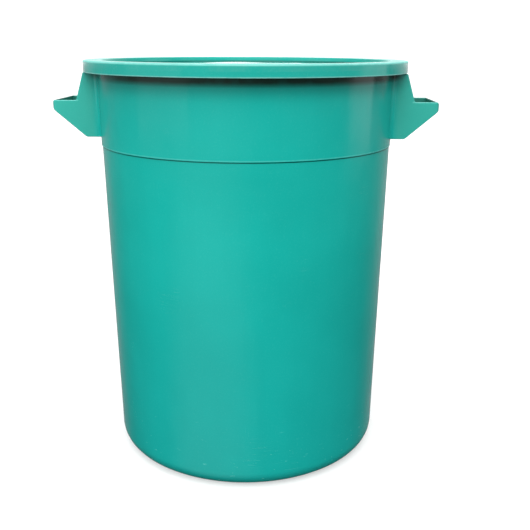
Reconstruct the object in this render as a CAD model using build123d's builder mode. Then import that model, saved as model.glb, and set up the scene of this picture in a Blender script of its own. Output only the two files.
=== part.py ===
"""Round plastic overpack drum with a lift-off lid and two moulded side handles.

Frame: the origin is the centre of the base on the floor, +Z is up the drum's axis, and the
handles point along -X and +X. Millimetres.

The drum tapers towards its base and has a small step low in its shoulder. Its top edge turns
out and down into a hooked rim. The lid's skirt hangs over that hook, and the lid's dished
panel drops just inside the drum's mouth. Each handle is an open frame of two cheeks. A sloped
apron comes down from the rim, and a V-shaped grip joins the cheeks at their tips.
"""
import os
from math import atan2, cos, tan

from build123d import *

os.makedirs("parts", exist_ok=True)

# Overall size
overall_height = 628.0
lid_radius = 250.0

# Lid
lid_wall = 3.0
skirt_height = 17.6
ring_width = 27.5
recess_depth = 9.0
recess_draft = 0.5
disc_radius = 95.0
disc_height = 3.5
disc_slope = 4.0
ring_edge_round = 2.4
recess_round = 2.0
skirt_edge_round = 1.2

# Gasket, a flat ring in the roof of the lid's channel
gasket_thickness = 3.0
gasket_side_gap = 2.5
gasket_round = 0.8

# Drum shell
shell_wall = 4.0
shell_radius_at_band = 230.3
shell_radius_at_floor = 217.0
step_below_top = 127.0
step_out = 1.2
step_round = 0.5
base_corner_radius = 26.0
foot_inner_radius = 150.0
foot_height = 4.0
foot_slope = 8.0
rim_thickness = 3.5
rim_radius = 246.3
rim_hook_depth = 10.5
rim_round = 1.4
seal_gap = 0.3

# Handles, as heights below the top of the lid and distances from the axis
handle_width = 108.0
handle_wall = 3.5
handle_top_drop = 18.6
apron_top_x = 245.7
shelf_x = 258.0
shelf_drop = 60.0
apron_lip = 7.0
tip_x = 295.3
tip_drop = 73.0
heel_x = 245.0
heel_drop = 115.6
grip_start_x = 259.0
tip_upper_round = 4.0
tip_lower_round = 6.0
tip_side_round = 6.0
heel_round = 8.0
apron_foot_round = 3.0
cheek_edge_round = 1.0

# Heights and radii that follow from them
skirt_bottom = overall_height - skirt_height
lid_roof = overall_height - lid_wall
panel_top = overall_height - recess_depth
panel_under = panel_top - lid_wall
ring_inner_radius = lid_radius - ring_width
plug_radius = ring_inner_radius + lid_wall
panel_radius = ring_inner_radius - recess_draft
rim_top = lid_roof - gasket_thickness - seal_gap
rim_under = rim_top - rim_thickness
rim_bottom = rim_top - rim_hook_depth
step_height = overall_height - step_below_top
taper = (shell_radius_at_band - shell_radius_at_floor) / skirt_bottom
overshoot = 10.0


def shell_radius(height):
    """Outside radius of the tapered wall, before the step's two halves are set apart."""
    return shell_radius_at_floor + taper * height


def round_corners(profile, radius, *points):
    """Round the profile's corners that lie nearest to the given points."""
    corners = [profile.vertices().sort_by_distance((x, y, 0))[0] for x, y in points]
    fillet(corners, radius)


def shell_outside(top):
    """Outline of the wall's outside from the floor's centre up to a height."""
    return [
        (0, foot_height),
        (foot_inner_radius - foot_slope, foot_height),
        (foot_inner_radius, 0),
        (shell_radius(0), 0),
        (shell_radius(step_height) - step_out / 2, step_height),
        (shell_radius(step_height) + step_out / 2, step_height),
        (shell_radius(top), top),
    ]


# ---------------------------------------------------------------- drum shell
mouth_radius = shell_radius(rim_top) - shell_wall
base_inner_radius = shell_radius(shell_wall) - shell_wall

with BuildPart() as drum_shell:
    with BuildSketch(Plane.XZ) as shell_profile:
        with BuildLine():
            Polyline(
                *shell_outside(rim_under),
                (rim_radius - rim_thickness, rim_under),
                (rim_radius - rim_thickness, rim_bottom),
                (rim_radius, rim_bottom),
                (rim_radius, rim_top),
                (mouth_radius, rim_top),
                (base_inner_radius, shell_wall),
                (foot_inner_radius, shell_wall),
                (foot_inner_radius - foot_slope, foot_height + shell_wall),
                (0, foot_height + shell_wall),
                close=True,
            )
        make_face()
        round_corners(shell_profile, base_corner_radius, (shell_radius(0), 0))
        round_corners(
            shell_profile, base_corner_radius - shell_wall, (base_inner_radius, shell_wall)
        )
        round_corners(
            shell_profile, rim_round, (rim_radius, rim_top), (mouth_radius, rim_top)
        )
        round_corners(
            shell_profile, step_round, (shell_radius(step_height) + step_out / 2, step_height)
        )
    revolve(axis=Axis.Z)

drum_shell.part.label = "drum_shell"
export_step(drum_shell.part, "parts/drum_shell.step")


# ------------------------------------------------------------------- handles
apron_slant = atan2(shelf_x - apron_top_x, shelf_drop - handle_top_drop)
apron_across = handle_wall / cos(apron_slant)
grip_rise = tip_x - heel_x
grip_fall = heel_drop - tip_drop
grip_slant = atan2(grip_fall, grip_rise)
grip_down = handle_wall / cos(grip_slant)


def below_top(drop):
    """Height above the floor of a point this far below the top of the lid."""
    return overall_height - drop


def apron_x(drop):
    """Outside face of the sloped apron at a drop below the lid's top."""
    return apron_top_x + (drop - handle_top_drop) * tan(apron_slant)


def grip_inside_drop(x):
    """Upper face of the grip's slanting web at a distance from the axis."""
    return tip_drop + (tip_x - x) * tan(grip_slant) - grip_down


with BuildPart() as handle_right:
    # The outside shape of the whole handle, as wide as both cheeks together.
    with BuildSketch(Plane.XZ) as handle_profile:
        with BuildLine():
            Polyline(
                (shell_radius_at_floor, below_top(handle_top_drop)),
                (apron_top_x, below_top(handle_top_drop)),
                (shelf_x, below_top(shelf_drop)),
                (tip_x, below_top(shelf_drop)),
                (tip_x, below_top(tip_drop)),
                (heel_x, below_top(heel_drop)),
                (shell_radius_at_floor, below_top(heel_drop)),
                close=True,
            )
        make_face()
        round_corners(handle_profile, tip_upper_round, (tip_x, below_top(shelf_drop)))
        round_corners(handle_profile, tip_lower_round, (tip_x, below_top(tip_drop)))
        round_corners(handle_profile, heel_round, (heel_x, below_top(heel_drop)))
        round_corners(handle_profile, apron_foot_round, (shelf_x, below_top(shelf_drop)))
    extrude(amount=handle_width / 2, both=True)

    # The two cheeks' outer edges are softened before the inside is opened.
    cheek_faces = handle_right.faces().filter_by(Axis.Y)
    fillet(cheek_faces.edges(), cheek_edge_round)

    # Seen from above, the tip's two corners are rounded.
    with BuildSketch(Plane.XY.offset(below_top(heel_drop + overshoot))):
        RectangleRounded(2 * tip_x, handle_width, tip_side_round)
    extrude(amount=heel_drop + overshoot, mode=Mode.INTERSECT)

    # The hand space: open upwards outside the apron and downwards inside the grip.
    with BuildSketch(Plane.XZ) as hand_space:
        with BuildLine():
            Polyline(
                (shell_radius_at_floor, below_top(handle_top_drop + handle_wall)),
                (
                    apron_x(handle_top_drop + handle_wall) - apron_across,
                    below_top(handle_top_drop + handle_wall),
                ),
                (shelf_x - handle_wall, below_top(shelf_drop)),
                (shelf_x - handle_wall, below_top(shelf_drop + apron_lip)),
                (shelf_x, below_top(shelf_drop + apron_lip)),
                (shelf_x, below_top(shelf_drop - overshoot)),
                (tip_x - handle_wall, below_top(shelf_drop - overshoot)),
                (tip_x - handle_wall, below_top(grip_inside_drop(tip_x - handle_wall))),
                (grip_start_x, below_top(grip_inside_drop(grip_start_x))),
                (grip_start_x, below_top(heel_drop + overshoot)),
                (shell_radius_at_floor, below_top(heel_drop + overshoot)),
                close=True,
            )
        make_face()
    extrude(amount=handle_width / 2 - handle_wall, both=True, mode=Mode.SUBTRACT)

    # The cheeks and the apron's roof end on the drum's wall.
    with BuildSketch(Plane.XZ):
        with BuildLine():
            Polyline(*shell_outside(rim_top), (0, rim_top), close=True)
        make_face()
    revolve(axis=Axis.Z, mode=Mode.SUBTRACT)

handle_right.part.label = "handle_right"
export_step(handle_right.part, "parts/handle_right.step")

with BuildPart() as handle_left:
    mirror(handle_right.part, about=Plane.YZ)

handle_left.part.label = "handle_left"
export_step(handle_left.part, "parts/handle_left.step")


# ----------------------------------------------------------------------- lid
with BuildPart() as lid:
    with BuildSketch(Plane.XZ) as lid_profile:
        with BuildLine():
            Polyline(
                (0, panel_top + disc_height),
                (disc_radius - disc_slope, panel_top + disc_height),
                (disc_radius, panel_top),
                (panel_radius, panel_top),
                (ring_inner_radius, overall_height),
                (lid_radius, overall_height),
                (lid_radius, skirt_bottom),
                (lid_radius - lid_wall, skirt_bottom),
                (lid_radius - lid_wall, lid_roof),
                (plug_radius, lid_roof),
                (plug_radius - recess_draft, panel_under),
                (disc_radius, panel_under),
                (disc_radius - disc_slope, panel_under + disc_height),
                (0, panel_under + disc_height),
                close=True,
            )
        make_face()
        round_corners(lid_profile, ring_edge_round, (lid_radius, overall_height))
        round_corners(
            lid_profile,
            recess_round,
            (ring_inner_radius, overall_height),
            (panel_radius, panel_top),
            (plug_radius - recess_draft, panel_under),
        )
        round_corners(lid_profile, skirt_edge_round, (lid_radius, skirt_bottom))
    revolve(axis=Axis.Z)

lid.part.label = "lid"
export_step(lid.part, "parts/lid.step")


# -------------------------------------------------------------------- gasket
gasket_outer_radius = lid_radius - lid_wall - gasket_side_gap
gasket_inner_radius = plug_radius + gasket_side_gap

with BuildPart() as lid_gasket:
    with BuildSketch(Plane.XZ) as gasket_profile:
        with BuildLine():
            Polyline(
                (gasket_inner_radius, lid_roof),
                (gasket_outer_radius, lid_roof),
                (gasket_outer_radius, lid_roof - gasket_thickness),
                (gasket_inner_radius, lid_roof - gasket_thickness),
                close=True,
            )
        make_face()
        round_corners(
            gasket_profile,
            gasket_round,
            (gasket_outer_radius, lid_roof - gasket_thickness),
            (gasket_inner_radius, lid_roof - gasket_thickness),
        )
    revolve(axis=Axis.Z)

lid_gasket.part.label = "lid_gasket"
export_step(lid_gasket.part, "parts/lid_gasket.step")
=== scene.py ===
"""Looks of the round overpack drum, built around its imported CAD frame. Metres, +Z up.

Every visible piece is a new mesh that stands for one CAD node and rides on that node's body:
lathed skins for the drum, the lid and the gasket, and a carved, edge-rounded frame for each
handle. All surfaces carry procedural materials in the object's own coordinates.
"""

import math
from collections import namedtuple

import bmesh
import bpy
from mathutils import Matrix, Vector, noise


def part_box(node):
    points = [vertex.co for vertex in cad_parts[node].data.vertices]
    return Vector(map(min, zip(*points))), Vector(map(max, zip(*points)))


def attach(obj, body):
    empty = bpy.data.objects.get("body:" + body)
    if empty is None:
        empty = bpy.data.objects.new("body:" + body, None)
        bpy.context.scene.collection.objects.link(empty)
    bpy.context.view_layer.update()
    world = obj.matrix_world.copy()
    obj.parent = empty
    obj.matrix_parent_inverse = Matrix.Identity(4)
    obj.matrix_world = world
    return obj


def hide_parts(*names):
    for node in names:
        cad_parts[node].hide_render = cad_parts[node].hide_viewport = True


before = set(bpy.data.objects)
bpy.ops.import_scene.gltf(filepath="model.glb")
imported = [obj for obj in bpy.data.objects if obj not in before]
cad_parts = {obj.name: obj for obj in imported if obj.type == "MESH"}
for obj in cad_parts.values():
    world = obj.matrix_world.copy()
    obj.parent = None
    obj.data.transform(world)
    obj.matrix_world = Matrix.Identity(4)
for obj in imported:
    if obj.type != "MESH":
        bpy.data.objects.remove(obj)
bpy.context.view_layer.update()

# ------------------------------------------------------------------ sizes from the frame
_, shell_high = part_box("drum_shell")
lid_low, lid_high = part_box("lid")
gasket_low, gasket_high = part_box("lid_gasket")
handle_low, handle_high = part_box("handle_right")

overall_height = lid_high.z
lid_radius = lid_high.x
skirt_bottom = lid_low.z
rim_radius = shell_high.x
rim_top = shell_high.z
lid_roof = gasket_high.z
gasket_bottom = gasket_low.z
gasket_outer_radius = gasket_high.x
handle_top = handle_high.z
handle_bottom = handle_low.z
tip_x = handle_high.x
handle_half_width = handle_high.y

# ------------------------------------------------------------- details of the mouldings
shell_wall = 0.004
shell_radius_at_band = 0.2303
shell_radius_at_floor = 0.217
step_height = overall_height - 0.127
step_out = 0.0012
base_corner_round = 0.026
base_gate_radius = 0.007
base_gate_depth = 0.0015
foot_inner_radius = 0.150
foot_height = 0.004
foot_slope = 0.008
rim_thickness = 0.0035
rim_hook_depth = 0.0105

lid_wall = overall_height - lid_roof
ring_width = 0.0275
recess_depth = 0.009
recess_draft = 0.0005
disc_radius = 0.095
disc_height = 0.0035
disc_slope = 0.004
lid_gate_radius = 0.008
lid_gate_depth = 0.0006
lid_gate_slope = 0.0012
ring_inner_radius = lid_radius - ring_width
plug_radius = ring_inner_radius + lid_wall
panel_radius = ring_inner_radius - recess_draft
panel_top = overall_height - recess_depth
panel_under = panel_top - lid_wall

gasket_inner_radius = plug_radius + 0.0025
bead_depth = 0.0012

handle_wall = 0.0035
apron_top_x = tip_x - 0.0496
shelf_x = tip_x - 0.0373
shelf_height = overall_height - 0.060
apron_lip = 0.007
tip_height = overall_height - 0.073
heel_x = tip_x - 0.0503
grip_start_x = tip_x - 0.0363
tip_side_round = 0.006
handle_edge_round = 0.0011
sharp_angle = math.radians(32)
outer_fillet = 0.0065
inner_fillet = outer_fillet * 0.6
# How far the handles reach into the wall, and how far a cutting shape sticks out.
embed = 0.002
clearance = 0.01

segments_around = 192
longest_wall_run = 0.014
longest_lid_run = 0.012
taper = (shell_radius_at_band - shell_radius_at_floor) / skirt_bottom


def shell_radius(height):
    """Outside radius of the drum's tapered wall, before the step's halves are set apart."""
    return shell_radius_at_floor + taper * height


# --------------------------------------------------------------------------- mesh tools
def arc(before, corner, after, rounding, pieces):
    """Points of the arc that rounds one corner of an outline."""
    back = (before - corner).normalized()
    ahead = (after - corner).normalized()
    half = back.angle(ahead) / 2
    centre = corner + (back + ahead).normalized() * rounding / math.sin(half)
    start = corner + back * rounding / math.tan(half) - centre
    turn = math.copysign(math.pi - 2 * half, back.cross(ahead) * -1)
    points = []
    for k in range(pieces + 1):
        angle = turn * k / pieces
        points.append(centre + Matrix.Rotation(angle, 2) @ start)
    return points


def rounded(corners, closed=False, pieces=6):
    """Outline through corners (across, height, rounding), with each corner rounded."""
    places = [Vector(corner[:2]) for corner in corners]
    outline = []
    for i, (_, _, rounding) in enumerate(corners):
        end = not closed and i in (0, len(corners) - 1)
        if end or rounding == 0:
            outline.append(places[i])
        else:
            after = places[(i + 1) % len(places)]
            outline.extend(arc(places[i - 1], places[i], after, rounding, pieces))
    return outline


def divided(outline, longest):
    """The outline with its long straight runs divided evenly."""
    points = [outline[0]]
    for a, b in zip(outline, outline[1:]):
        parts = max(1, math.ceil((b - a).length / longest))
        points.extend(a.lerp(b, k / parts) for k in range(1, parts + 1))
    return points


def new_object(name, data):
    """A new object with this mesh, lamp or camera, in the scene."""
    made = bpy.data.objects.new(name, data)
    bpy.context.scene.collection.objects.link(made)
    return made


def object_from(name, work):
    """A new object with the faces of a bmesh, all turned outwards."""
    bmesh.ops.recalc_face_normals(work, faces=work.faces)
    mesh = bpy.data.meshes.new(name)
    work.to_mesh(mesh)
    work.free()
    return new_object(name, mesh)


def smooth(piece, weight):
    """Shade a piece smoothly, with its normals led by the larger faces."""
    piece.data.shade_smooth()
    normals = piece.modifiers.new("normals", "WEIGHTED_NORMAL")
    normals.weight = weight


def lathe(name, outline, closed=False, segments=segments_around, shape=None):
    """Turn an outline of (radius, height) points about +Z. shape(point) may move a vertex."""
    work = bmesh.new()
    rings = []
    for radius, height in outline:
        count = segments if radius > 1e-6 else 1
        ring = []
        for k in range(count):
            angle = 2 * math.pi * k / segments
            place = Vector((radius * math.cos(angle), radius * math.sin(angle), height))
            ring.append(work.verts.new(shape(place) if shape else place))
        rings.append(ring)
    pairs = list(zip(rings, rings[1:]))
    if closed:
        pairs.append((rings[-1], rings[0]))
    for lower, upper in pairs:
        for k in range(segments):
            n = (k + 1) % segments
            if len(lower) == 1:
                work.faces.new((lower[0], upper[n], upper[k]))
            elif len(upper) == 1:
                work.faces.new((lower[k], lower[n], upper[0]))
            else:
                work.faces.new((lower[k], lower[n], upper[n], upper[k]))
    made = object_from(name, work)
    smooth(made, weight=80)
    return made


def close_solid(work, first, last):
    """Make a solid between two matching rings of vertices: both ends and the sides."""
    work.faces.new(first)
    work.faces.new(last)
    for k in range(len(first)):
        n = (k + 1) % len(first)
        work.faces.new((first[k], first[n], last[n], last[k]))


def prism(name, outline, low, high, along):
    """Closed prism of an outline. along "Y" takes (x, z) points and along "Z" (x, y) points."""
    work = bmesh.new()
    ends = []
    for level in (low, high):
        if along == "Y":
            ends.append([work.verts.new((p.x, level, p.y)) for p in outline])
        else:
            ends.append([work.verts.new((p.x, p.y, level)) for p in outline])
    close_solid(work, *ends)
    return object_from(name, work)


def bake_modifiers(piece):
    """Replace a piece's mesh by its evaluated mesh and clear its modifiers."""
    graph = bpy.context.evaluated_depsgraph_get()
    graph.update()
    mesh = bpy.data.meshes.new_from_object(piece.evaluated_get(graph))
    piece.modifiers.clear()
    piece.data = mesh


def carve(target, tool, operation):
    """Apply one exact boolean to the target and delete the tool."""
    cut = target.modifiers.new("cut", "BOOLEAN")
    cut.operation = operation
    cut.solver = "EXACT"
    cut.object = tool
    bake_modifiers(target)
    bpy.data.objects.remove(tool)


# ------------------------------------------------------------------ slight unevenness
# Waves of the wall, which fade out within a margin of its edges, its step and its handles.
wave_depth = 0.00035
wave_inwards = 0.4
wave_radius = 0.22
wave_scale = Vector((5.0, 5.0, 3.2))
edge_margin = 0.05
step_margin = 0.02
handle_margin = 0.10

# Ripple and sag of the lid's panel, which fade out within a margin of its ring.
ripple_depth = 0.0016
ripple_scale = 10.0
ripple_slice = 8.2
panel_sag = 0.0006
panel_margin = 0.12


def away(value, level, reach):
    """0 on a level, rising smoothly to 1 at this reach from it."""
    share = min(1.0, abs(value - level) / reach)
    return share * share * (3 - 2 * share)


def wall_wave(place):
    """Move a point of the drum's wall in or out a little, and leave the fits as they are."""
    across = Vector((place.x, place.y))
    if across.length < foot_inner_radius:
        return place
    free = away(place.z, 0, edge_margin) * away(place.z, step_height, step_margin)
    free *= away(min(place.z, skirt_bottom), skirt_bottom, edge_margin)
    free *= away(place.y, 0, handle_margin)
    spot = across.normalized() * wave_radius
    seed = Vector((spot.x * wave_scale.x, spot.y * wave_scale.y, place.z * wave_scale.z))
    depth = wave_depth * free * (noise.noise(seed) - wave_inwards)
    across *= 1 + depth / across.length
    return Vector((across.x, across.y, place.z))


def panel_wave(place):
    """Let the lid's thin panel sag and ripple slightly inside its stiff ring."""
    across = math.hypot(place.x, place.y)
    if across > panel_radius:
        return place
    free = away(across, panel_radius, panel_margin)
    ripple = ripple_depth * noise.noise(Vector((place.x, place.y, ripple_slice)) * ripple_scale)
    return Vector((place.x, place.y, place.z + free * (ripple - panel_sag)))


# ------------------------------------------------------------------------------ pieces
def drum_skin():
    """The drum: base with foot ring, tapered wall with its step, and hooked rim."""
    rim_under = rim_top - rim_thickness
    rim_bottom = rim_top - rim_hook_depth
    hook_inside = rim_radius - rim_thickness
    mouth = shell_radius(rim_top) - shell_wall
    base_inside = shell_radius(shell_wall) - shell_wall
    raised = foot_inner_radius - foot_slope
    corners = [
        (0, foot_height - base_gate_depth, 0),
        (base_gate_radius, foot_height - base_gate_depth, 0.0006),
        (base_gate_radius + 0.0006, foot_height, 0.0003),
        (raised, foot_height, 0.003),
        (foot_inner_radius, 0, 0.002),
        (shell_radius(0), 0, base_corner_round),
        (shell_radius(step_height) - step_out / 2, step_height, 0.0003),
        (shell_radius(step_height) + step_out / 2, step_height, 0.0005),
        (shell_radius(rim_under), rim_under, 0.002),
        (hook_inside, rim_under, 0.001),
        (hook_inside, rim_bottom, 0.0008),
        (rim_radius, rim_bottom, 0.0008),
        (rim_radius, rim_top, 0.0014),
        (mouth, rim_top, 0.0014),
        (base_inside, shell_wall, base_corner_round - shell_wall),
        (foot_inner_radius, shell_wall, 0.003),
        (raised, foot_height + shell_wall, 0.003),
        (0, foot_height + shell_wall, 0),
    ]
    outline = divided(rounded(corners), longest_wall_run)
    return lathe("drum_skin", outline, shape=wall_wave)


def lid_skin():
    """The lid: skirt, flat ring, dished panel and the low disc in its middle."""
    disc_top = panel_top + disc_height
    disc_under = panel_under + disc_height
    corners = [
        (0, disc_top - lid_gate_depth, 0),
        (lid_gate_radius, disc_top - lid_gate_depth, 0.0004),
        (lid_gate_radius + lid_gate_slope, disc_top, 0.0006),
        (disc_radius - disc_slope, disc_top, 0.003),
        (disc_radius, panel_top, 0.002),
        (panel_radius, panel_top, 0.002),
        (ring_inner_radius, overall_height, 0.002),
        (lid_radius, overall_height, 0.003),
        (lid_radius, skirt_bottom, 0.0005),
        (lid_radius - lid_wall, skirt_bottom, 0.0006),
        (lid_radius - lid_wall, lid_roof, 0.0012),
        (plug_radius, lid_roof, 0.0012),
        (plug_radius - recess_draft, panel_under, 0.002),
        (disc_radius, panel_under, 0.003),
        (disc_radius - disc_slope, disc_under, 0.002),
        (0, disc_under, 0),
    ]
    outline = divided(rounded(corners), longest_lid_run)
    return lathe("lid_skin", outline, shape=panel_wave)


def gasket_skin():
    """The gasket: a flat rubber ring with two sealing beads on its underside."""
    middle = (gasket_outer_radius + gasket_inner_radius) / 2
    quarter = (gasket_outer_radius - gasket_inner_radius) / 4
    hollow = gasket_bottom + bead_depth
    corners = [
        (gasket_inner_radius, lid_roof, 0),
        (gasket_outer_radius, lid_roof, 0),
        (gasket_outer_radius, hollow, 0.0004),
        (middle + 1.6 * quarter, hollow, 0.0004),
        (middle + quarter, gasket_bottom, 0.0008),
        (middle + 0.4 * quarter, hollow, 0.0004),
        (middle - 0.4 * quarter, hollow, 0.0004),
        (middle - quarter, gasket_bottom, 0.0008),
        (middle - 1.6 * quarter, hollow, 0.0004),
        (gasket_inner_radius, hollow, 0.0004),
    ]
    return lathe("gasket_skin", rounded(corners, closed=True, pieces=4), closed=True)


def handle_outside():
    """Side outline of the handle's cheeks, as (x, z) points."""
    inside = shell_radius_at_floor * 0.9
    corners = [
        (inside, handle_top, 0),
        (apron_top_x, handle_top, 0.0012),
        (shelf_x, shelf_height, 0.003),
        (tip_x, shelf_height, 0.004),
        (tip_x, tip_height, 0.006),
        (heel_x, handle_bottom, 0.008),
        (inside, handle_bottom, 0),
    ]
    return rounded(corners, closed=True, pieces=8)


def handle_hollow():
    """Side outline of the hand space, open above the grip and below the apron."""
    inside = shell_radius_at_floor * 0.8
    slant = math.atan2(shelf_x - apron_top_x, handle_top - shelf_height)
    roof = handle_top - handle_wall
    roof_x = apron_top_x + handle_wall * math.tan(slant) - handle_wall / math.cos(slant)
    fall = (tip_height - handle_bottom) / (tip_x - heel_x)
    grip_down = handle_wall / math.cos(math.atan(fall))

    def grip_top(x):
        return tip_height - (tip_x - x) * fall + grip_down

    lip_low = shelf_height - apron_lip
    corners = [
        (inside, roof, 0),
        (roof_x, roof, 0.0015),
        (shelf_x - handle_wall, shelf_height, 0.002),
        (shelf_x - handle_wall, lip_low, 0.0008),
        (shelf_x, lip_low, 0.0008),
        (shelf_x, shelf_height + clearance, 0),
        (tip_x - handle_wall, shelf_height + clearance, 0),
        (tip_x - handle_wall, grip_top(tip_x - handle_wall), 0.003),
        (grip_start_x, grip_top(grip_start_x), 0.0012),
        (grip_start_x, handle_bottom - clearance, 0),
        (inside, handle_bottom - clearance, 0),
    ]
    return rounded(corners, closed=True, pieces=5)


def handle_plan():
    """Outline of the handle seen from above, as (x, y) points."""
    corners = [
        (0, -handle_half_width, 0),
        (tip_x, -handle_half_width, tip_side_round),
        (tip_x, handle_half_width, tip_side_round),
        (0, handle_half_width, 0),
    ]
    return rounded(corners, closed=True, pieces=8)


def fillet_outline(height, cheek_y, outwards, radius, pieces=8):
    """Section of a wall fillet at one height: a concave arc, closed inside the wall and the cheek."""
    wall = shell_radius(height) + step_out / 2
    centre_y = cheek_y + outwards * radius
    centre_x = math.sqrt((wall + radius) ** 2 - centre_y**2)
    centre = Vector((centre_x, centre_y))
    wall_angle = math.atan2(centre_y, centre_x)
    on_wall = Vector((math.cos(wall_angle), math.sin(wall_angle))) * wall
    on_cheek = Vector((centre_x, cheek_y))
    from_angle = math.atan2(*(on_wall - centre).yx)
    to_angle = math.atan2(*(on_cheek - centre).yx)
    turn = (to_angle - from_angle + math.pi) % (2 * math.pi) - math.pi
    points = []
    for k in range(pieces + 1):
        angle = from_angle + turn * k / pieces
        points.append(centre + radius * Vector((math.cos(angle), math.sin(angle))))
    deep = wall - embed
    in_cheek_y = cheek_y - outwards * embed / 2
    points.append(Vector((centre_x, in_cheek_y)))
    points.append(Vector((math.sqrt(deep**2 - cheek_y**2), in_cheek_y)))
    points.append(on_wall * (deep / wall))
    return points


def wall_fillet(work, cheek_y, outwards, radius):
    """Concave moulding fillet between the drum's wall and one face of a cheek."""
    rings = []
    for height in (handle_bottom + 0.001, handle_top - 0.001):
        points = fillet_outline(height, cheek_y, outwards, radius)
        rings.append([work.verts.new((p.x, p.y, height)) for p in points])
    close_solid(work, *rings)


def carved_handle(name):
    """The right handle's frame with sharp edges, cut to its plan, its hollow and the wall."""
    low = handle_bottom - clearance
    high = handle_top + clearance
    reach = handle_half_width - handle_wall
    drum = [
        Vector((0, low)),
        Vector((shell_radius(low) - embed, low)),
        Vector((shell_radius(high) - embed, high)),
        Vector((0, high)),
    ]
    piece = prism(name, handle_outside(), -handle_half_width, handle_half_width, "Y")
    carve(piece, prism("plan", handle_plan(), low, high, "Z"), "INTERSECT")
    carve(piece, prism("hollow", handle_hollow(), -reach, reach, "Y"), "DIFFERENCE")
    carve(piece, lathe("drum", drum, segments=96), "DIFFERENCE")
    return piece


def handle_skin(name, side):
    """One handle, on side 1 or -1: its edges rounded, and filleted onto the wall."""
    piece = carved_handle(name)
    edges = piece.modifiers.new("edges", "BEVEL")
    edges.width = handle_edge_round
    edges.segments = 3
    edges.limit_method = "ANGLE"
    edges.angle_limit = sharp_angle
    edges.use_clamp_overlap = False
    bake_modifiers(piece)
    work = bmesh.new()
    work.from_mesh(piece.data)
    for cheek in (-1, 1):
        wall_fillet(work, cheek * handle_half_width, cheek, outer_fillet)
        wall_fillet(work, cheek * (handle_half_width - handle_wall), -cheek, inner_fillet)
    if side < 0:
        bmesh.ops.scale(work, vec=(-1, 1, 1), verts=work.verts)
    bmesh.ops.recalc_face_normals(work, faces=work.faces)
    work.to_mesh(piece.data)
    work.free()
    smooth(piece, weight=90)
    return piece


# --------------------------------------------------------------------------- materials
# Colour sockets of a Mix node: its two inputs and its output.
mix_a = 6
mix_b = 7
mix_result = 2

# Tones that are mixed into both plastics, some of them painted shade.
# Painted shade near the floor.
floor_shade_tone = (0.0, 0.0, 0.10)
dust_tone = (0.20, 0.36, 0.32)
# Painted shade inside the handles.
handle_shade_tone = (0.0, 0.03, 0.025)
grip_tone = (0.18, 0.33, 0.20)
# Dirt, and painted shade under the lid's skirt and in corners.
dirt_and_shade_tone = (0.0, 0.042, 0.026)

# Sockets with a point's X, its height and its distance from the drum's axis.
Position = namedtuple("Position", "side height radius")


class Shader:
    """Small helper that adds and links the nodes of one material."""

    def __init__(self, name):
        self.material = bpy.data.materials.new(name)
        self.material.use_nodes = True
        self.tree = self.material.node_tree
        self.surface = self.tree.nodes["Principled BSDF"]
        self.place = self.add("ShaderNodeTexCoord").outputs["Object"]

    def add(self, kind, **settings):
        """A new node with these settings."""
        node = self.tree.nodes.new(kind)
        for key, value in settings.items():
            setattr(node, key, value)
        return node

    def join(self, source, target):
        """Link a socket, or set a plain value."""
        if isinstance(source, bpy.types.NodeSocket):
            self.tree.links.new(source, target)
        else:
            target.default_value = source

    def finish(self, **inputs):
        """Link or set inputs of the surface, with _ for each space in their names."""
        for key, value in inputs.items():
            self.join(value, self.surface.inputs[key.replace("_", " ")])

    def math(self, operation, a, b=0.0, clamp=False):
        """One step of arithmetic."""
        node = self.add("ShaderNodeMath", operation=operation, use_clamp=clamp)
        self.join(a, node.inputs[0])
        self.join(b, node.inputs[1])
        return node.outputs[0]

    def product(self, a, b):
        """Two values multiplied."""
        return self.math("MULTIPLY", a, b)

    def largest(self, first, *others):
        """The largest of some values."""
        for other in others:
            first = self.math("MAXIMUM", first, other)
        return first

    def scaled(self, scale, turn=(0, 0, 0)):
        """The point's place, turned and scaled."""
        node = self.add("ShaderNodeMapping")
        self.join(self.place, node.inputs["Vector"])
        node.inputs["Scale"].default_value = scale
        node.inputs["Rotation"].default_value = turn
        return node.outputs["Vector"]

    def noise(self, scale, detail=3.0, roughness=0.5, vector=None, distortion=0.0):
        """Soft noise from 0 to 1."""
        node = self.add("ShaderNodeTexNoise")
        self.join(vector or self.place, node.inputs["Vector"])
        node.inputs["Scale"].default_value = scale
        node.inputs["Detail"].default_value = detail
        node.inputs["Roughness"].default_value = roughness
        node.inputs["Distortion"].default_value = distortion
        return node.outputs["Fac"]

    def ramp(self, value, low, high, out_low=0.0, out_high=1.0):
        """Smooth step of a value between two levels."""
        node = self.add("ShaderNodeMapRange", interpolation_type="SMOOTHSTEP")
        self.join(value, node.inputs["Value"])
        node.inputs["From Min"].default_value = low
        node.inputs["From Max"].default_value = high
        node.inputs["To Min"].default_value = out_low
        node.inputs["To Max"].default_value = out_high
        return node.outputs["Result"]

    def tint(self, colour, share, tone):
        """A colour, or an (r, g, b) tone, with a share of another tone mixed in."""
        node = self.add("ShaderNodeMix", data_type="RGBA")
        self.join(share, node.inputs["Factor"])
        self.join((*colour, 1) if isinstance(colour, tuple) else colour, node.inputs[mix_a])
        self.join((*tone, 1), node.inputs[mix_b])
        return node.outputs[mix_result]

    def bump(self, height, depth, below=None):
        """Bump of a 0 to 1 height that stands this many metres high."""
        node = self.add("ShaderNodeBump")
        node.inputs["Distance"].default_value = depth
        self.join(height, node.inputs["Height"])
        if below is not None:
            self.join(below, node.inputs["Normal"])
        return node.outputs["Normal"]

    def position(self):
        """The point's Position."""
        split = self.add("ShaderNodeSeparateXYZ")
        self.join(self.place, split.inputs[0])
        x, y, z = split.outputs
        radius = self.math("SQRT", self.math("ADD", self.product(x, x), self.product(y, y)))
        return Position(x, z, radius)


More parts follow.
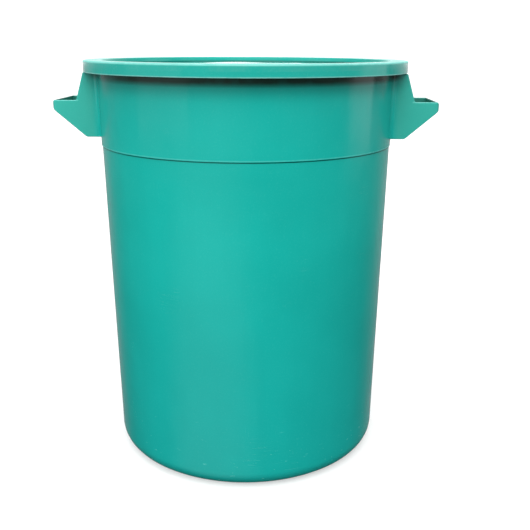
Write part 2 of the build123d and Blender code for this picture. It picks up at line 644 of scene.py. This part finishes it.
# ------------------------------------------------------------------------ where it shows
def ring_mask(shader, at, ring, reach):
    """1 on a ring round the drum's axis, given as (radius, height), falling to 0 round it."""
    across = shader.math("SUBTRACT", at.radius, ring[0])
    up = shader.math("SUBTRACT", at.height, ring[1])
    square = shader.math("ADD", shader.product(across, across), shader.product(up, up))
    return shader.ramp(shader.math("SQRT", square), 0.25 * reach, reach, 1.0, 0.0)


def rings_mask(shader, at, rings):
    """The strongest of several rings, each given as (ring, reach, amount)."""
    masks = []
    for ring, reach, amount in rings:
        masks.append(shader.product(ring_mask(shader, at, ring, reach), amount))
    return shader.largest(*masks)


def inner_side(shader, at):
    """1 on the inside of a handle: outside the drum's wall and facing its axis."""
    normal = shader.add("ShaderNodeTexCoord").outputs["Normal"]
    flat = shader.add("ShaderNodeVectorMath", operation="MULTIPLY")
    shader.join(shader.place, flat.inputs[0])
    shader.join((1, 1, 0), flat.inputs[1])
    facing = shader.add("ShaderNodeVectorMath", operation="DOT_PRODUCT")
    shader.join(normal, facing.inputs[0])
    shader.join(flat.outputs["Vector"], facing.inputs[1])
    inwards = shader.ramp(facing.outputs["Value"], -0.03, -0.015, 1.0, 0.0)
    outside = shader.ramp(at.radius, shell_radius_at_band + 0.002, shell_radius_at_band + 0.012)
    return shader.product(inwards, outside)


def outer_side(shader, at):
    """1 on the outside of the drum's tapered wall and beyond it, 0 inside the drum."""
    straight = shader.math("SUBTRACT", at.radius, shader.product(at.height, taper))
    return shader.ramp(straight, shell_radius_at_floor - 0.0035, shell_radius_at_floor - 0.002)


def lid_top(shader, at):
    """1 on the lid's panel and on all that is higher."""
    return shader.ramp(at.height, panel_top - 0.001, panel_top)


def lip_highlight_mask(shader, at):
    """1 on the top edge round a handle's opening, where a highlight line is painted."""
    off = shader.math("ABSOLUTE", shader.math("SUBTRACT", at.height, shelf_height))
    level = shader.ramp(off, 0.0006, 0.0016, 1.0, 0.0)
    return shader.product(level, shader.ramp(at.radius, shelf_x + 0.001, shelf_x + 0.004))


# ------------------------------------------------------------------------ signs of use and painted highlights
def scratch_mask(shader, scale, turn, width, rarity):
    """Thin broken lines, which run the way that the scale is smallest."""
    field = shader.noise(1.0, detail=2.0, vector=shader.scaled(scale, turn))
    offset = shader.math("ABSOLUTE", shader.math("SUBTRACT", field, 0.5))
    thin = shader.ramp(offset, 0.0, width, 1.0, 0.0)
    patches = shader.noise(13.0, detail=2.0, vector=shader.scaled((1, 1, 1), turn))
    return shader.product(thin, shader.ramp(patches, rarity, rarity + 0.08))


def scratches(shader):
    """Fine scratches, some level and some upright."""
    level = scratch_mask(shader, (9, 9, 260), (0, 0.25, 0), width=0.005, rarity=0.64)
    upright = scratch_mask(shader, (160, 160, 7), (0.2, 0, 0), width=0.004, rarity=0.66)
    return shader.largest(level, upright)


def scuffs(shader, near_floor):
    """Rubbed patches near the floor."""
    rubbed = shader.noise(1.0, detail=6.0, roughness=0.7, vector=shader.scaled((60, 60, 120)))
    return shader.product(shader.ramp(rubbed, 0.62, 0.74), near_floor)


def specks(shader, near_floor):
    """Groups of small dots near the floor."""
    field = shader.add("ShaderNodeTexVoronoi")
    shader.join(shader.place, field.inputs["Vector"])
    field.inputs["Scale"].default_value = 95.0
    dots = shader.ramp(field.outputs["Distance"], 0.045, 0.085, 1.0, 0.0)
    groups = shader.ramp(shader.noise(9.0, detail=1.0), 0.5, 0.6)
    return shader.product(dots, shader.product(groups, near_floor))


def painted_edge_highlights(shader, at, highlight_rings):
    """Broken pale lines of painted highlight on the given edge rings and round the top of each handle's
    opening.
    """
    broken = shader.ramp(shader.noise(70.0, detail=4.0, roughness=0.65), 0.35, 0.60, 0.7, 1.0)
    lip_highlights = shader.product(lip_highlight_mask(shader, at), 0.8)
    return shader.product(shader.largest(lip_highlights, rings_mask(shader, at, highlight_rings)), broken)


def use_marks_and_highlights(shader, at, lines, highlight_rings, scratched):
    """Scuffs, painted highlight lines on edges, scratches and specks together."""
    near_floor = shader.ramp(at.height, 0.0, 0.16, 1.0, 0.0)
    return shader.largest(
        shader.product(scuffs(shader, near_floor), 0.7),
        painted_edge_highlights(shader, at, highlight_rings),
        shader.product(lines, scratched),
        shader.product(specks(shader, near_floor), 0.7),
    )


def dirt_and_painted_shade(shader, at, dirt_and_shade_rings):
    """Dirt and painted shade in the given rings: patchy, fainter towards -X, and not inside the drum."""
    patchy = shader.ramp(shader.noise(30.0, detail=4.0), 0.3, 0.6, 0.9, 1.0)
    # Painted light: the dirt and shade fade towards -X, as if that side were lit more.
    patchy = shader.product(patchy, shader.ramp(at.side, -0.25, -0.12, 0.65, 1.0))
    open_air = shader.largest(outer_side(shader, at), lid_top(shader, at))
    patchy = shader.product(patchy, open_air)
    return shader.product(rings_mask(shader, at, dirt_and_shade_rings), patchy)


# -------------------------------------------------------------------------- the plastics
def moulded_colour(shader, streaks, light, dark, pale):
    """Slightly clouded colour with flow streaks and a fine pale grain."""
    cloudy = shader.ramp(shader.noise(5.5, detail=4.0, roughness=0.55), 0.3, 0.7)
    colour = shader.tint(dark, cloudy, light)
    colour = shader.tint(colour, shader.ramp(streaks, 0.35, 0.75, 0.0, 0.35), dark)
    grain = shader.noise(420.0, detail=2.0)
    return shader.tint(colour, shader.ramp(grain, 0.5, 0.75, 0.0, 0.03), pale)


def placed_colour(shader, at, colour, dusty, grip):
    """The colour with painted shade, darker and bluer towards the floor and dark inside the handles;
    dusty on the lid and dull on the handles.
    """
    # Painted shade: darker and bluer towards the floor.
    deep = shader.ramp(at.height, 0.04, 0.50, 0.14, 0.0)
    colour = shader.tint(colour, deep, floor_shade_tone)
    patches = shader.noise(7.0, detail=6.0, roughness=0.62, distortion=0.6)
    dust = shader.ramp(patches, 0.42, 0.75, 0.0, dusty)
    colour = shader.tint(colour, shader.product(dust, lid_top(shader, at)), dust_tone)
    # Painted shade inside the handles, where little light gets in.
    hollow = shader.product(inner_side(shader, at), 0.6)
    colour = shader.tint(colour, hollow, handle_shade_tone)
    on_wall = shell_radius_at_band + 0.001
    off_wall = shell_radius_at_band + 0.012
    return shader.tint(colour, shader.ramp(at.radius, on_wall, off_wall, 0.0, grip), grip_tone)


def plastic_roughness(shader, at, marks_and_highlights, gloss, matt):
    """Uneven gloss, duller on the scuffs, scratches, specks and painted highlight lines, and on the
    lid's flat ring.
    """
    uneven = shader.noise(16.0, detail=5.0, roughness=0.6)
    rough = shader.ramp(uneven, 0.3, 0.7, gloss - 0.05, gloss + 0.06)
    rough = shader.math("ADD", rough, shader.product(marks_and_highlights, 0.22))
    on_ring = shader.ramp(at.radius, ring_inner_radius - 0.002, ring_inner_radius, 0.0, matt)
    on_top = shader.ramp(at.height, overall_height - 0.004, overall_height - 0.002)
    return shader.math("ADD", rough, shader.product(on_ring, on_top), clamp=True)


def plastic_relief(shader, streaks, lines, sag):
    """Bump of slow waves, fine peel, flow streaks and scratches."""
    waves = shader.bump(shader.noise(22.0, detail=1.0), sag)
    peel = shader.bump(shader.noise(330.0, detail=2.0), 0.000025, waves)
    flow = shader.bump(streaks, 0.0002, peel)
    return shader.bump(shader.math("SUBTRACT", 1.0, lines), 0.00008, flow)


def plastic(name, light, dark, pale, highlight_rings, dirt_and_shade_rings, gloss, matt, sag, grip, scratched, dusty):
    """Semi-gloss moulded polyethylene with flow streaks, fine grain, signs of use, dirt, painted shade
    and painted highlights.

    light, dark and pale are tones, and pale also colours the painted highlights. The next two are lists
    of (ring, reach, amount): rings of painted highlight, and rings of dirt and painted shade. gloss is
    the mean roughness, matt is what the lid's flat ring adds to it, and sag is the depth of the
    slow waves. grip, scratched and dusty are shares from 0 to 1.
    """
    shader = Shader(name)
    at = shader.position()
    streaks = shader.noise(1.0, detail=4.0, roughness=0.6, vector=shader.scaled((42, 42, 2.4)))
    lines = scratches(shader)
    marks_and_highlights = use_marks_and_highlights(shader, at, lines, highlight_rings, scratched)
    colour = moulded_colour(shader, streaks, light, dark, pale)
    colour = placed_colour(shader, at, colour, dusty, grip)
    # Pale scuffs, scratches and specks, and painted highlight lines on edges and on the handle lip
    # edges.
    colour = shader.tint(colour, shader.product(marks_and_highlights, 0.5), pale)
    # Dirt, and painted shade under the lid's skirt and in the step and the lid's corners.
    colour = shader.tint(colour, dirt_and_painted_shade(shader, at, dirt_and_shade_rings), dirt_and_shade_tone)
    shader.finish(
        Base_Color=colour,
        Roughness=plastic_roughness(shader, at, marks_and_highlights, gloss, matt),
        Normal=plastic_relief(shader, streaks, lines, sag),
        IOR=1.5,
        Specular_IOR_Level=0.3,
    )
    return shader.material


def rubber(name):
    """Soft black elastomer with a matt, slightly dusty skin."""
    shader = Shader(name)
    dust = shader.ramp(shader.noise(60.0, detail=5.0, roughness=0.7), 0.45, 0.75, 0.0, 0.5)
    shader.finish(
        Base_Color=shader.tint((0.012, 0.012, 0.012), dust, (0.05, 0.052, 0.05)),
        Roughness=shader.ramp(shader.noise(140.0, detail=3.0), 0.3, 0.7, 0.55, 0.75),
        Normal=shader.bump(shader.noise(900.0, detail=3.0), 0.0002),
    )
    return shader.material


# ----------------------------------------------------------------------- stage and light
floor_half_width = 300.0

# Grey of the sky by the height of its direction, from 0 straight down to 1 straight up.
sky_greys = [
    (0.0, 0.03),
    (0.36, 0.06),
    (0.44, 0.12),
    (0.487, 0.16),
    (0.4912, 1.0),
    (0.539, 1.0),
    (0.57, 0.25),
    (1.0, 0.08),
]

# Round glows in the sky: azimuth, elevation and reach in degrees, and radiance.
sky_glows = [
    (-3, 52, 54, 3.7),
    (-28, -35, 40, 0.6),
    (180, 4, 68, 0.36),
    (180, 48, 62, 1.2),
]

camera_place = (0.0694, -1.2177, 0.6538)
camera_heading = math.radians(1.82)
camera_pitch = math.radians(73.5)
camera_roll = math.radians(0.24)
camera_lens = 51.03
camera_reach = 1000.0


def floor():
    """Large pale studio floor, which neither shows in the drum's gloss nor lights it."""
    half = floor_half_width
    mesh = bpy.data.meshes.new("studio_floor")
    corners = [(-half, -half, 0), (half, -half, 0), (half, half, 0), (-half, half, 0)]
    mesh.from_pydata(corners, [], [(0, 1, 2, 3)])
    made = new_object("studio_floor", mesh)
    shader = Shader("pale_floor")
    cloudy = shader.ramp(shader.noise(1.5, detail=3.0), 0.3, 0.7)
    shader.finish(
        Base_Color=shader.tint((0.50, 0.50, 0.50), cloudy, (0.52, 0.52, 0.52)),
        Roughness=0.7,
        Specular_IOR_Level=0.2,
        Emission_Color=(1, 1, 1, 1),
        Emission_Strength=0.45,
    )
    made.data.materials.append(shader.material)
    made.visible_glossy = False
    made.visible_diffuse = False


def towards(azimuth, elevation):
    """Unit vector. Azimuth turns from -Y towards +X; elevation is above the horizon, in degrees."""
    a = math.radians(azimuth)
    e = math.radians(elevation)
    return Vector((math.sin(a) * math.cos(e), -math.cos(a) * math.cos(e), math.sin(e)))


def horizon_greys(tree, direction):
    """The sky's grey, by the height of the direction."""
    split = tree.nodes.new("ShaderNodeSeparateXYZ")
    tree.links.new(direction, split.inputs[0])
    lift = tree.nodes.new("ShaderNodeMapRange")
    lift.inputs["From Min"].default_value = -1.0
    tree.links.new(split.outputs["Z"], lift.inputs["Value"])
    fade = tree.nodes.new("ShaderNodeValToRGB")
    tree.links.new(lift.outputs["Result"], fade.inputs[0])
    stops = fade.color_ramp.elements
    stops[0].position = sky_greys[0][0]
    stops[1].position = sky_greys[-1][0]
    for level, _ in sky_greys[1:-1]:
        stops.new(level)
    for stop, (_, grey) in zip(stops, sky_greys):
        stop.color = (grey, grey, grey, 1)
    return fade.outputs["Color"]


def with_glow(tree, direction, light, azimuth, elevation, reach, radiance):
    """The sky's light with one round glow added."""
    facing = tree.nodes.new("ShaderNodeVectorMath")
    facing.operation = "DOT_PRODUCT"
    tree.links.new(direction, facing.inputs[0])
    facing.inputs[1].default_value = towards(azimuth, elevation)
    glow = tree.nodes.new("ShaderNodeMapRange")
    glow.interpolation_type = "SMOOTHSTEP"
    glow.inputs["From Min"].default_value = math.cos(math.radians(reach))
    glow.inputs["To Max"].default_value = radiance
    tree.links.new(facing.outputs["Value"], glow.inputs["Value"])
    both = tree.nodes.new("ShaderNodeMix")
    both.data_type = "RGBA"
    both.blend_type = "ADD"
    both.inputs["Factor"].default_value = 1.0
    tree.links.new(light, both.inputs[mix_a])
    tree.links.new(glow.outputs["Result"], both.inputs[mix_b])
    return both.outputs[mix_result]


def sky():
    """A white band round the horizon, dim grey elsewhere, and soft glows in front and behind."""
    world = bpy.data.worlds.new("studio")
    bpy.context.scene.world = world
    world.use_nodes = True
    tree = world.node_tree
    direction = tree.nodes.new("ShaderNodeTexCoord").outputs["Generated"]
    light = horizon_greys(tree, direction)
    for glow in sky_glows:
        light = with_glow(tree, direction, light, *glow)
    tree.links.new(light, tree.nodes["Background"].inputs["Color"])


def lamp(name, azimuth, distance, width, height, power, aim_height):
    """Soft upright rectangular lamp that looks level at the drum's axis."""
    data = bpy.data.lights.new(name, "AREA")
    data.shape = "RECTANGLE"
    data.size = width
    data.size_y = height
    data.energy = power
    made = new_object(name, data)
    direction = towards(azimuth, 0)
    made.location = Vector((0, 0, aim_height)) + direction * distance
    made.rotation_mode = "QUATERNION"
    made.rotation_quaternion = direction.to_track_quat("Z", "Y")
    made.visible_camera = False


def camera():
    """The camera, a little higher than the lid and looking slightly down."""
    data = bpy.data.cameras.new("camera")
    data.lens = camera_lens
    data.sensor_width = 36.0
    data.clip_end = camera_reach
    made = new_object("camera", data)
    heading = Matrix.Rotation(camera_heading, 4, "Z")
    pitch = Matrix.Rotation(camera_pitch, 4, "X")
    roll = Matrix.Rotation(camera_roll, 4, "Z")
    made.matrix_world = Matrix.Translation(camera_place) @ heading @ pitch @ roll
    bpy.context.scene.camera = made


def studio():
    """Floor, sky, lamps and camera."""
    floor()
    sky()
    lamp("right_window", azimuth=93.6, distance=1.56, width=0.7, height=1.0, power=2.45, aim_height=0.79)
    lamp("left_window", azimuth=-58, distance=1.6, width=1.2, height=1.0, power=2.3, aim_height=0.8)
    camera()
    bpy.context.scene.view_settings.view_transform = "Standard"


# --------------------------------------------------------------------------- assembly
def stand_for(piece, node, body, material):
    """Put a finished piece in the place of its CAD node."""
    piece.data.materials.clear()
    piece.data.materials.append(material)
    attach(piece, body)
    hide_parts(node)


studio()

# Edges with painted highlights, and corners with dirt and painted shade, as (radius, height).
step_edge = (shell_radius(step_height) + step_out / 2, step_height + 0.0016)
step_root = (shell_radius(step_height) - step_out / 2, step_height - 0.0006)
under_lid = (shell_radius(skirt_bottom), skirt_bottom)
lid_edge = (lid_radius - 0.0008, overall_height - 0.0008)
skirt_edge = (lid_radius, skirt_bottom)
panel_corner = (panel_radius, panel_top)
disc_foot = (disc_radius, panel_top)
gate_edge = (lid_gate_radius, panel_top + disc_height)

drum_plastic = plastic(
    "drum_plastic",
    light=(0.009, 0.45, 0.385),
    dark=(0.007, 0.41, 0.35),
    # The pale tone also colours the painted highlight lines.
    pale=(0.19, 0.74, 0.67),
    # Painted highlight along the step's upper edge.
    highlight_rings=[(step_edge, 0.0012, 0.4)],
    # Dirt and painted shadow in the step's root, and painted shadow under the lid's skirt.
    dirt_and_shade_rings=[(step_root, 0.0014, 0.85), (under_lid, 0.0185, 1.05), (under_lid, 0.036, 0.33)],
    gloss=0.21,
    matt=0.0,
    sag=0.0006,
    grip=0.16,
    scratched=0.35,
    dusty=0.0,
)
lid_plastic = plastic(
    "lid_plastic",
    # Painted shade: one plastic with the drum, but these tones are a darker copy of the drum's to tone
    # down the lid's brightly lit band.
    light=(0.009, 0.41, 0.345),
    dark=(0.007, 0.375, 0.315),
    # The pale tone, lighter than the drum's, also colours the painted highlights on the lid's edges.
    pale=(0.34, 0.74, 0.68),
    # Painted highlights along the lid's top edge and the skirt's bottom edge.
    highlight_rings=[(lid_edge, 0.0028, 1.0), (skirt_edge, 0.0022, 1.0)],
    # Painted shade in the panel's corner and round the disc's foot, and darker round the gate.
    dirt_and_shade_rings=[(panel_corner, 0.0045, 0.75), (disc_foot, 0.0025, 0.45), (gate_edge, 0.0015, 0.5)],
    gloss=0.14,
    matt=0.16,
    sag=0.00025,
    grip=0.02,
    scratched=0.7,
    dusty=0.16,
)

stand_for(drum_skin(), "drum_shell", "drum", drum_plastic)
stand_for(handle_skin("handle_right_skin", 1), "handle_right", "drum", drum_plastic)
stand_for(handle_skin("handle_left_skin", -1), "handle_left", "drum", drum_plastic)
stand_for(lid_skin(), "lid", "lid", lid_plastic)
stand_for(gasket_skin(), "lid_gasket", "lid", rubber("gasket_rubber"))
